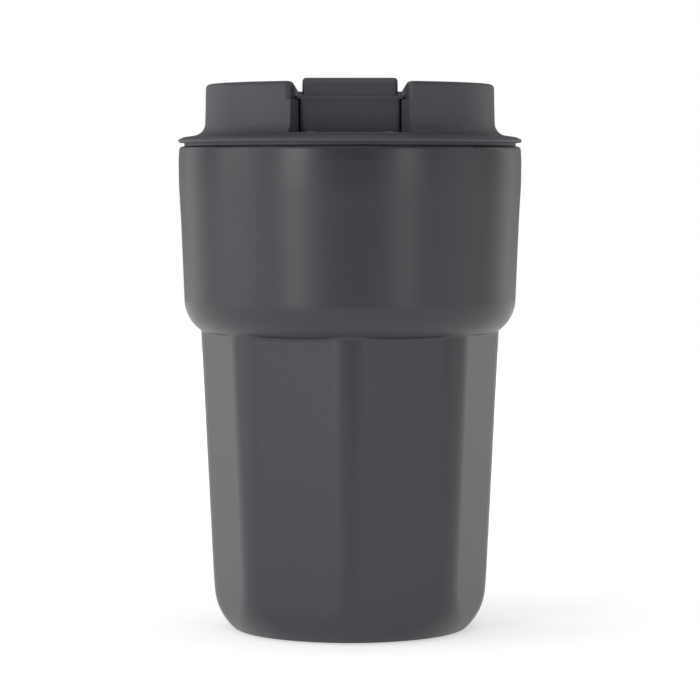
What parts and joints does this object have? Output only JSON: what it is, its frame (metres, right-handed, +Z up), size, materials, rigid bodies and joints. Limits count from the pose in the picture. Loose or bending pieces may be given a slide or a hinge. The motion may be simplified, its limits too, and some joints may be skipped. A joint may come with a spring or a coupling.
{
  "type": "insulated travel mug",
  "caption": "Dark grey insulated travel mug with a round collar, a faceted lower body and a push-fit lid with a flip-open drinking flap.",
  "frame": {"origin": "middle of the base, on the surface the mug stands on", "axes": "+Z up along the mug's axis, -Y towards the drinking side, +X to the right of a viewer who faces the drinking side"},
  "size_m": [0.0852, 0.0852, 0.1361],
  "materials": {
    "coat": "fine matte powder coat",
    "steel": "satin, turned",
    "pin_steel": "ground",
    "lid_plastic": "fine moulded grain, satin",
    "plug_plastic": "smooth satin",
    "seal_silicone": "matte silicone",
    "pad_silicone": "matte silicone",
    "solder_glass": "fused bead",
    "getter": "sintered"
  },
  "bodies": {
    "cup": {"outer_shell": "coat", "inner_liner": "steel", "base_plate": "steel", "vacuum_seal": "solder_glass", "getter_holder": "steel", "getter_pellet": "getter", "base_pad": "pad_silicone"},
    "lid": {"lid_cover": "lid_plastic", "lid_plug": "plug_plastic", "lid_seal": "seal_silicone", "spout_gasket": "seal_silicone", "vent_gasket": "seal_silicone", "hinge_pin": "pin_steel"},
    "flap": {"flap_lever": "lid_plastic", "flap_liner": "plug_plastic", "spout_stopper": "seal_silicone", "vent_pad": "seal_silicone"}
  },
  "joints": [
    {"name": "lid_lift", "type": "slide", "parent": "cup", "child": "lid", "axis": [0, 0, 1], "range_m": [0, 0.04]},
    {"name": "flap_hinge", "type": "hinge", "parent": "lid", "child": "flap", "pos_m": [0, 0.002, 0.1306], "axis": [-1, 0, 0], "range_deg": [0, 180]}
  ]
}
